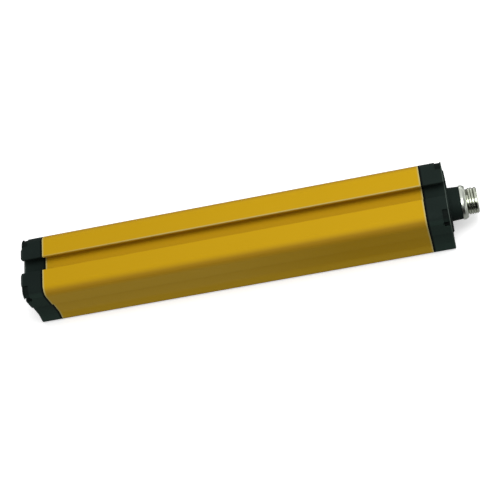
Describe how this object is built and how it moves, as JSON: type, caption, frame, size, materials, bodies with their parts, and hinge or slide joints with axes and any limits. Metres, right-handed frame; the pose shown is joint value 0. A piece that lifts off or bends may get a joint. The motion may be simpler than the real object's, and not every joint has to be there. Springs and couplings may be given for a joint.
{
  "type": "safety light curtain",
  "caption": "Straight light-curtain bar: extruded yellow housing, dark front window, T-slot back, black end caps and a threaded round connector.",
  "frame": {"origin": "under the middle of the bar's whole length, in the plane of the window lips it lies on", "axes": "+X along the bar towards the connector, +Z from the window side to the slotted mounting side"},
  "size_m": [0.2816, 0.0452, 0.037],
  "materials": {
    "yellow_coat": "satin powder coat",
    "black_moulding": "fine-grained black moulding",
    "dark_window": "polished infrared-pass sheet",
    "seal_rubber": "matt rubber",
    "nickel_plate": "satin nickel plate",
    "screw_steel": "zinc-plated steel",
    "insert_plastic": "moulded insulator",
    "gold_plate": "gold-plated contact",
    "board_green": "solder-masked board",
    "chip_black": "moulded package",
    "clear_lens": "clear moulded lens",
    "diode_resin": "dark infrared resin",
    "capacitor_can": "drawn aluminium can",
    "header_plastic": "white nylon",
    "lamp_green": "lamp body",
    "lamp_red": "lamp body",
    "harness_sleeve": "sleeved leads"
  },
  "bodies": {
    "root": {"board_header": "header_plastic", "connector_end_cap": "black_moulding", "connector_end_gasket": "seal_rubber", "connector_end_screws": "screw_steel", "connector_insert": "insert_plastic", "connector_lock_nut": "nickel_plate", "connector_o_ring": "seal_rubber", "connector_shell": "nickel_plate", "contact_pins": "gold_plate", "control_chip_1": "chip_black", "control_chip_2": "chip_black", "diode_1": "diode_resin", "diode_2": "diode_resin", "diode_3": "diode_resin", "diode_4": "diode_resin", "diode_5": "diode_resin", "diode_6": "diode_resin", "front_window": "dark_window", "harness_plug": "header_plastic", "housing_profile": "yellow_coat", "lens_1": "clear_lens", "lens_2": "clear_lens", "lens_3": "clear_lens", "lens_4": "clear_lens", "lens_5": "clear_lens", "lens_6": "clear_lens", "main_board": "board_green", "optics_carrier": "black_moulding", "output_transistor_1": "chip_black", "output_transistor_2": "chip_black", "plain_end_cap": "black_moulding", "plain_end_gasket": "seal_rubber", "plain_end_screws": "screw_steel", "signal_harness": "harness_sleeve", "status_lamp_green": "lamp_green", "status_lamp_red": "lamp_red", "supply_capacitor_1": "capacitor_can", "supply_capacitor_2": "capacitor_can", "window_seal_left": "seal_rubber", "window_seal_right": "seal_rubber"}
  },
  "joints": []
}
